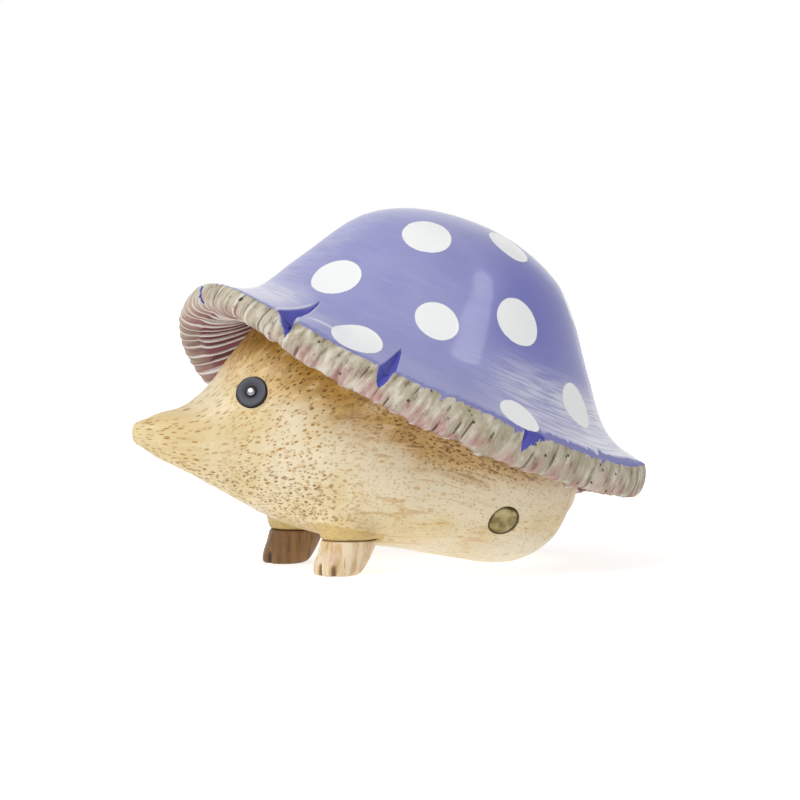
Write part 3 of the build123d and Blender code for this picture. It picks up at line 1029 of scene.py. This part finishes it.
for vert in body_bm.verts:
    facet = noise.noise(vert.co * 150) + 0.5 * noise.noise(vert.co * 330)
    vert.co += vert.normal * facet * FACET_DEPTH * MM
for vert in body_bm.verts:
    x, y, z = vert.co / MM
    leg_across = (abs(x) - LEG_ACROSS) / (LEG_HALF_WIDTH + SAW_MARGIN)
    leg_along = (y - LEG_ALONG) / (LEG_HALF_LENGTH + SAW_MARGIN)
    lowest = FOOT_TOP + 0.05 if hypot(leg_across, leg_along) < 1 else 0.0
    vert.co.z = max(z, lowest) * MM
    across, along, rise = cap_inverse @ vert.co / MM
    if rise > -22:
        rise = min(rise, brim_underside(across, along) - GLUE_GAP)
        vert.co = CAP_FRAME @ (Vector((across, along, rise)) * MM)
print("body points:", len(body_bm.verts))

# %% [markdown]
# ## Recesses for the eyes and the stud
# Each eye disc and the brass stud sit in a shallow round seat. Sunk seats with sharp rims are what a
# drill makes, so three short drums are subtracted with the Boolean modifier and the result is kept as a mesh.

# %% Planes of eyes and stud
def plane_frame(middle, outward):
    """A frame whose Z points out of the wood at a place given in mm."""
    outward = Vector(outward).normalized()
    return Matrix.Translation(Vector(middle) * MM) @ outward.to_track_quat("Z", "Y").to_matrix().to_4x4()


EYE_FRAMES = {
    "left": plane_frame((11.54, -41.278, 44.196), (0.7242, -0.5956, 0.3476)),
    "right": plane_frame((-11.543, -41.278, 44.196), (-0.7242, -0.5956, 0.3476)),
}
STUD_FRAME = plane_frame((22.19, 20.674, 12.256), (0.87, -0.0389, -0.4915))
EYE_RADIUS = 3.9
STUD_RADIUS = 4.1
SEAT_PLAY = 0.1
DRUM_HEIGHT = 8.0
print("eye looks towards", [round(v, 2) for v in EYE_FRAMES["left"].to_3x3().col[2]])


# %% Drill the seats
seats = [(eye_frame, EYE_RADIUS + SEAT_PLAY) for eye_frame in EYE_FRAMES.values()]
seats.append((STUD_FRAME, STUD_RADIUS + SEAT_PLAY))
drum_bm = bmesh.new()
for seat_frame, radius in seats:
    bmesh.ops.create_cone(
        drum_bm, cap_ends=True, segments=72, radius1=radius * MM, radius2=radius * MM, depth=DRUM_HEIGHT * MM,
        matrix=seat_frame @ Matrix.Translation((0, 0, DRUM_HEIGHT / 2 * MM)),
    )
drums = mesh_object("drums", drum_bm)
undrilled = mesh_object("undrilled", body_bm)
drill = undrilled.modifiers.new("drill", "BOOLEAN")
drill.operation = "DIFFERENCE"
drill.solver = "EXACT"
drill.object = drums
body_bm = baked(undrilled)
discard(drums)
for edge in body_bm.edges:
    if len(edge.link_faces) == 2 and edge.calc_face_angle() > radians(50):
        edge.smooth = False
print("open edges of the body:", sum(edge.is_boundary for edge in body_bm.edges))

# %% [markdown]
# ## Root wood
# Bamboo root is pale straw with hundreds of small brown scars where rootlets grew. On the snout they
# are long dashes, on cheek and brow bold ones that rise towards the back, along the jaw darker ones, and
# on the flank fine dots; near the cap the wood is golden and its scars darker, partly a stain and partly
# painted shade under the brim. The grain follows the carved form, so it is marked on the points first.
# Each scar is one Voronoi cell in a space stretched along that grain: its distance makes the dash and
# its random colour decides whether it is there at all.

# %% Grain of the root
grain_layer = body_bm.verts.layers.float.new("grain")
for vert in body_bm.verts:
    x, y, z = vert.co / MM
    _, underside, back, _ = section_at(clamp(y - NOSE, nose_place, rump_place))
    level = ((z - underside) / (back - underside) - 0.5) * blend(back - underside, 45, 0.35)
    climb = 8.0 * (1 - exp(-(y - NOSE) / 28))
    vert[grain_layer] = (level - climb) * MM
print("grain marked on", len(body_bm.verts), "points")

# %% Scars of the rootlets
wood = Finish("body_wood")
side_x, along_y, high_z = wood.split(wood.place)
along_body = along_y / MM
grain = wood.mark("grain")
in_cap = []
for axis in CAP_FRAME.to_3x3().col:
    ends = {0: wood.place, 1: axis}
    along_axis = wood.node("ShaderNodeVectorMath", {"operation": "DOT_PRODUCT"}, ends, "Value")
    in_cap.append((along_axis - axis.dot(CAP_FRAME.translation)) / MM)
cap_across, cap_along, cap_rise = in_cap
side_square = (cap_across / CAP_NARROW) * (cap_across / CAP_NARROW)
below_brim = cap_rise + SIDE_DROOP * side_square / (side_square + cap_along * cap_along)


def scars(stretch, scale, reach, share, shift):
    """Dashes along the grain: 1 in the scar, 0 between."""
    way = wood.join(side_x + shift, along_y / stretch, grain)
    near = wood.cells(way, scale, "Distance")
    kept, size, depth = wood.split(wood.cells(way, scale, "Color"))
    edge = reach * (0.6 + 0.8 * size)
    dash = near.step(edge, edge * 0.45)
    return dash * kept.step(1 - share, 1.02 - share) * (0.5 + 0.5 * depth)


head = along_body.step(-8, -30)
snout = along_body.step(-42, -52)
bold = scars(2.2, 1350, 0.4, 0.98, 0.0) * head * (1 - snout)
jaw = head * (grain / MM + 0.25 * (along_body - NOSE)).step(-5.5, -11)
bold = bold.most(scars(3.2, 950, 0.38, 0.85, 0.4) * snout)
bold = bold.most(scars(2.2, 1150, 0.4, 0.85, 0.6) * jaw)
loose = scars(2.2, 600, 0.28, 0.8, 0.1) * (1 - 0.8 * head)
fine = scars(1.6, 1500, 0.4, 0.95, 0.2) * (1 - 0.8 * head)
dense = scars(2.6, 1700, 0.44, 0.9, 0.3) * (1 - head)
print("nodes for the scars:", len(wood.tree.nodes))

# %% Straw, gold and streaks
streak = wood.noise(wood.join(side_x, along_y / 16, grain), 520, detail=4, rough=0.6)
line = wood.noise(wood.join(side_x + 0.3, along_y / 22, grain), 900, detail=3, rough=0.5)
patch = wood.noise(wood.place, 55, detail=3, warp=0.4)
# golden under the brim: partly a stain, partly painted shade cast by the brim
brim_stain_and_shade = (below_brim + (patch - 0.5) * 6).step(-11.5 - 10 * head, -5)
gold = wood.coats(
    (218, 168, 62),
    (streak.step(0.4, 0.62), (190, 138, 42)),
    (along_body.step(-5, 22) * 0.55, (216, 184, 128)),
)
thread = line.step(0.58, 0.66) * (1 - 0.7 * brim_stain_and_shade) * (1 - snout) * along_body.step(22, -8)
amber = streak.step(0.5, 0.64) * patch.step(0.48, 0.6) * (1 - head)
straw = wood.coats(
    (240, 227, 194),
    (patch.step(0.35, 0.65), (231, 210, 160)),
    (along_body.step(-46, -60) * 0.7, (228, 202, 142)),
    (brim_stain_and_shade * (0.75 + 0.2 * head), gold),
    (streak.step(0.55, 0.7) * (0.2 + 0.5 * brim_stain_and_shade), (184, 140, 68)),
    (streak.step(0.46, 0.3) * 0.5, (248, 232, 202)),
    (line.step(0.6, 0.68) * brim_stain_and_shade * (1 - 0.6 * head) * 0.8, (124, 84, 26)),
    (thread * 0.5, (204, 156, 80)),
    (amber * 0.55, (216, 164, 84)),
    # painted light: paler towards the belly, as lit from the white ground below
    ((high_z / MM).step(12, 1) * 0.5, (246, 240, 222)),
)
print("nodes with the straw:", len(wood.tree.nodes))

# %% Scars and leg collars over the straw
collar_across = ((side_x / MM).size() - LEG_ACROSS) / (LEG_HALF_WIDTH + 2.0)
collar_along = (along_body - LEG_ALONG) / (LEG_HALF_LENGTH + 1.6)
collar_top = high_z / MM + 0.2 * (along_body - LEG_ALONG) + (patch - 0.5) * 1.5
collar = (collar_across * collar_across + collar_along * collar_along).step(1.05, 0.95)
collar = collar * collar_top.step(11.6, 11.1)
# scars darker and denser under the brim: partly stain, partly painted shade
fine_share = fine.most(dense * brim_stain_and_shade) * (0.45 + 0.5 * brim_stain_and_shade)
scarred = wood.coats(
    straw,
    (bold, wood.mix(brim_stain_and_shade.most(jaw * 0.5), (180, 128, 46), (92, 58, 12))),
    (loose * 0.75, wood.mix(brim_stain_and_shade, (206, 164, 88), (132, 92, 34))),
    (fine_share, wood.mix(brim_stain_and_shade, (182, 140, 70), (118, 82, 32))),
    (collar * 0.85, wood.mix(streak, (200, 166, 92), (224, 198, 134))),
)
wood_relief = 0.5 - 0.4 * bold - 0.2 * fine - 0.2 * loose + 0.12 * streak
body_material = wood.surface(
    scarred, wood_relief, 0.3,
    roughness=0.45 + 0.2 * bold, coat_weight=0.12, coat_roughness=0.2, specular_ior_level=0.35,
)
finish_piece("body_dressed", body_bm, "body", body_material)

# %% [markdown]
# ## Feet
# Each foot is a small boot-shaped block, glued under the haunch: nearly upright in front, cut away at
# the heel, with three notches that make four toes. A block with bevels would look turned by
# machine, so a grid is wrapped again and the notches are pressed in while wrapping, splayed a little
# differently on each foot. The left one is of pale streaky wood, the right one of dark.

# %% Form of a foot
TOE_SPLAY = {1: 12, -1: 35}
TOE_SPREAD = 50
NOTCH_TOP = 4.2


def toe_notch(side, turn, height):
    """1 in the bottom of a notch between two toes, 0 outside; the notches widen downwards."""
    off = min(away(side * turn, TOE_SPLAY[side] + step * TOE_SPREAD) for step in (-1, 0, 1))
    lift = clamp(height / NOTCH_TOP)
    return max(0.0, 1 - off / (8 + 9 * (1 - lift))) * (1 - ease(height, 1.6, NOTCH_TOP))


def foot_point(turn, row, side):
    height, fullness = row
    share = height / FOOT_TOP
    front = LEG_ALONG - 9.0 + 2.0 * share ** 1.3 - 0.3 * sin(pi * min(share * 1.6, 1))
    heel = LEG_ALONG + 1.4 + 5.6 * share ** 0.62
    half_width = 5.4 + 0.9 * share ** 0.7
    press = toe_notch(side, turn, height) ** 0.8
    facet = 0.14 * noise.noise(Vector((sin(turn) * 2, cos(turn) * 2, height * 0.35 + side)))
    shrink = fullness * (1 - 0.24 * press + 0.3 * facet / 5)
    across = side * LEG_ACROSS + half_width * shrink * sin(turn)
    along = (front + heel) / 2 - (heel - front) / 2 * shrink * cos(turn)
    return Vector((across, along, height)) * MM


foot_rows = [(0.0, 0.0), (0.0, 0.5), (0.0, 0.85), (0.1, 0.92), (0.4, 0.975), (0.8, 1.0)]
foot_rows += [(0.8 + 7.2 * i / 22, 1.0) for i in range(1, 23)]
foot_rows += [(8.3, 0.985), (FOOT_TOP, 0.95), (FOOT_TOP, 0.5), (FOOT_TOP, 0.0)]


def streaky_wood(name, pale, deep, dark, warm):
    """Wood with upright streaks, for one foot."""
    foot_wood = Finish(name)
    upright = foot_wood.stretched(1, 1, 0.12)
    streak = foot_wood.noise(upright, 520, detail=4, rough=0.6)
    patch = foot_wood.noise(foot_wood.place, 260, detail=3)
    line = foot_wood.noise(upright, 1100, detail=3)
    _, _, height = foot_wood.split(foot_wood.place)
    shade = foot_wood.coats(
        pale,
        (streak.step(0.36, 0.66), deep),
        (patch.step(0.5, 0.7) * 0.6, warm),
        (line.step(0.6, 0.72) * 0.6, dark),
        # painted shade in the notches between the toes
        (foot_wood.mark("notch").step(0.25, 0.8) * 0.9, dark),
        ((height / MM).step(FOOT_TOP - 0.35, FOOT_TOP) * 0.8, dark),
    )
    relief = streak * 0.6 + patch * 0.4
    return foot_wood.surface(shade, relief, 0.25, roughness=0.5, coat_weight=0.15, coat_roughness=0.25)


print("rows on a foot:", len(foot_rows))

# %% Wrap both feet
# side, name of its finish, and the pale, deep, dark and warm colours of its wood
FEET = {
    "left": (1, "pale_foot_wood", (238, 220, 186), (206, 170, 116), (120, 82, 42), (232, 202, 182)),
    "right": (-1, "dark_foot_wood", (148, 110, 66), (108, 78, 44), (62, 44, 32), (150, 102, 60)),
}
for name, (side, slot, *tones) in FEET.items():
    foot_bm = bmesh.new()
    wrap_grid(foot_bm, 144, foot_rows, foot_point, side)
    bmesh.ops.recalc_face_normals(foot_bm, faces=foot_bm.faces)
    notch_layer = foot_bm.verts.layers.float.new("notch")
    for vert in foot_bm.verts:
        x, y, z = vert.co / MM
        turn = atan2(x - side * LEG_ACROSS, -(y - LEG_ALONG + 3.8))
        vert[notch_layer] = toe_notch(side, turn, z)
    finish_piece(name + "_foot_dressed", foot_bm, name + "_foot", streaky_wood(slot, *tones))

# %% [markdown]
# ## Eyes
# Each eye is a thin round disc of painted wood or plastic, pinned through the middle. Its outer edge
# and a ring round the pin are painted dark as the shade of the gaps there. A circle is extruded and
# bevelled, and a small dished ring is pressed in around the pin by two insets. The pin is a turned part,
# so its half outline is spun once round. The far eye sits a little deeper, as its edge must not show
# beyond the brow.

# %% Satin eye disc and steel pin
DISC_HEIGHT = 1.2
eye_finish = Finish("eye_disc")
disc_tops = [eye_frame @ Vector((0, 0, DISC_HEIGHT * MM)) for eye_frame in EYE_FRAMES.values()]
from_left, from_right = [eye_finish.distance(top) for top in disc_tops]
from_middle = from_left.least(from_right)
smear = eye_finish.noise(eye_finish.place, 420, detail=3)
disc_colour = eye_finish.coats(
    (58, 60, 70),
    (smear, (72, 74, 84)),
    # dark outer edge: painted shade of the gap round the disc
    ((from_middle + (smear - 0.5) * 1.2).step(3.3, 3.7) * 0.9, (20, 17, 18)),
    # dark ring round the pin: painted shade of the gap round the pin
    (from_middle.step(1.75, 1.5) * 0.9, (30, 28, 32)),
)
disc_material = eye_finish.surface(
    disc_colour, smear, 0.06, roughness=0.56, coat_weight=0.05, coat_roughness=0.3
)
steel = Finish("eye_pin")
scuff = steel.noise(steel.place, 1800, detail=3)
steel_colour = steel.mix(scuff, (118, 118, 122), (188, 188, 190))
pin_material = steel.surface(steel_colour, scuff, 0.03, metallic=1.0, roughness=0.25 + 0.15 * scuff)
print("eye finishes ready")


# %% Disc and pin
def highest(bm):
    """The highest of the round faces."""
    round_faces = [face for face in bm.faces if len(face.verts) > 4]
    return max(round_faces, key=lambda face: face.calc_center_median().z)


def eye_disc():
    """A bevelled disc with a dished ring round its middle, slightly out of round."""
    bm = bmesh.new()
    bmesh.ops.create_circle(bm, cap_ends=True, segments=72, radius=EYE_RADIUS * MM)
    top = bmesh.ops.extrude_face_region(bm, geom=bm.faces[:])["geom"]
    top_verts = [item for item in top if isinstance(item, bmesh.types.BMVert)]
    bmesh.ops.translate(bm, verts=top_verts, vec=(0, 0, DISC_HEIGHT * MM))
    bmesh.ops.recalc_face_normals(bm, faces=bm.faces)
    bmesh.ops.bevel(
        bm, geom=highest(bm).edges[:], offset=0.3 * MM, affect="EDGES", segments=4, profile=0.5, material=-1
    )
    top_face = highest(bm)
    bmesh.ops.inset_region(bm, faces=[top_face], thickness=2.0 * MM, use_even_offset=True)
    bmesh.ops.inset_region(bm, faces=[top_face], thickness=0.12 * MM, depth=-0.14 * MM, use_even_offset=True)
    for vert in bm.verts:
        reach = vert.co.xy.length / MM
        if reach > 2:
            angle = atan2(vert.co.y, vert.co.x)
            wobble = 1 - 0.035 * (0.5 + wave(angle, 2, 3))
            vert.co.xy = vert.co.xy * wobble
    return bm


def turned(outline, steps):
    """A turned form: half of its outline, from axis to axis in mm, spun once round Z."""
    bm = bmesh.new()
    verts = [bm.verts.new((radius * MM, 0, height * MM)) for radius, height in outline]
    edges = [bm.edges.new(pair) for pair in zip(verts, verts[1:])]
    bmesh.ops.spin(
        bm, geom=verts + edges, cent=(0, 0, 0), axis=(0, 0, 1), angle=tau, steps=steps, use_merge=True
    )
    bmesh.ops.remove_doubles(bm, verts=bm.verts, dist=0.0005 * MM)
    bmesh.ops.recalc_face_normals(bm, faces=bm.faces)
    return bm


# radius and height in mm
PIN_OUTLINE = [
    (0, 1.7), (0.35, 1.76), (0.7, 1.7), (0.95, 1.56), (1.08, 1.42), (1.14, 1.28), (1.1, 1.2),
    (0.75, 1.2), (0.75, -6.8), (0, -6.8),
]
SUNK = {"left": 0.0, "right": 0.5}
for name, eye_frame in EYE_FRAMES.items():
    eye_frame = eye_frame @ Matrix.Translation((0, 0, -SUNK[name] * MM))
    parts = (("_eye_disc", eye_disc(), disc_material), ("_eye_pin", turned(PIN_OUTLINE, 48), pin_material))
    for part, part_bm, material in parts:
        bmesh.ops.transform(part_bm, matrix=eye_frame, verts=part_bm.verts)
        finish_piece(name + part + "_dressed", part_bm, name + part, material)

# %% [markdown]
# ## Brass stud
# A domed stud of aged brass closes the rear flank. Its head is left plain. The half outline has the
# dome, a fine rolled lip and the shank; spun round, the lip carries a dark line, partly tarnish in the
# crevice and partly painted shade where the stud meets the wood.

# %% Aged brass
brass = Finish("stud_brass")
stud_reach = brass.distance(STUD_FRAME @ Vector((0, 0, 0.8 * MM)))
tarnish = brass.noise(brass.place, 380, detail=4, rough=0.6)
brass_colour = brass.coats(
    (182, 170, 126),
    (tarnish.step(0.35, 0.65), (136, 122, 78)),
    # dark line at the lip: partly tarnish in the crevice, partly painted shade where the stud meets the wood
    ((stud_reach + (tarnish - 0.5) * 0.8).step(3.2, 3.9) * 0.85, (58, 48, 22)),
)
stud_material = brass.surface(brass_colour, tarnish, 0.08, metallic=1.0, roughness=0.24 + 0.2 * tarnish)
dome = smooth_line([(0, 1.6), (1.8, 1.34), (3.2, 0.74), (3.62, 0.46)], start=(1, 0), end=(0.8, -0.6), steps=6)
stud_outline = [(point.x, point.y) for point in dome]
stud_outline += [(3.68, 0.36), (3.8, 0.4), (3.95, 0.34), (4.06, 0.2), (4.08, 0.06), (4.0, 0.0)]
stud_outline += [(0.9, 0.0), (0.9, -9.0), (0, -9.0)]
stud_bm = turned(stud_outline, 72)
bmesh.ops.transform(stud_bm, matrix=STUD_FRAME, verts=stud_bm.verts)
finish_piece("brass_stud_dressed", stud_bm, "brass_stud", stud_material)

# %% [markdown]
# ## Hidden dowels
# The dowels inside the joints are plain turned pegs whose solids are right as they are, so they stay
# and only get a finish: straight pale grain, read in the figure's own space.

# %% Peg wood on the dowels
peg = Finish("dowel_wood")
peg_grain = peg.noise(peg.stretched(1, 1, 0.1), 700, detail=4)
peg_colour = peg.mix(peg_grain, (206, 178, 132), (176, 142, 94))
peg_material = peg.surface(peg_colour, peg_grain, 0.1, roughness=0.6)
for node_name, node in frame["nodes"].items():
    if "dowel" in node_name:
        node.data.materials.clear()
        node.data.materials.append(peg_material)
print("dowels finished")
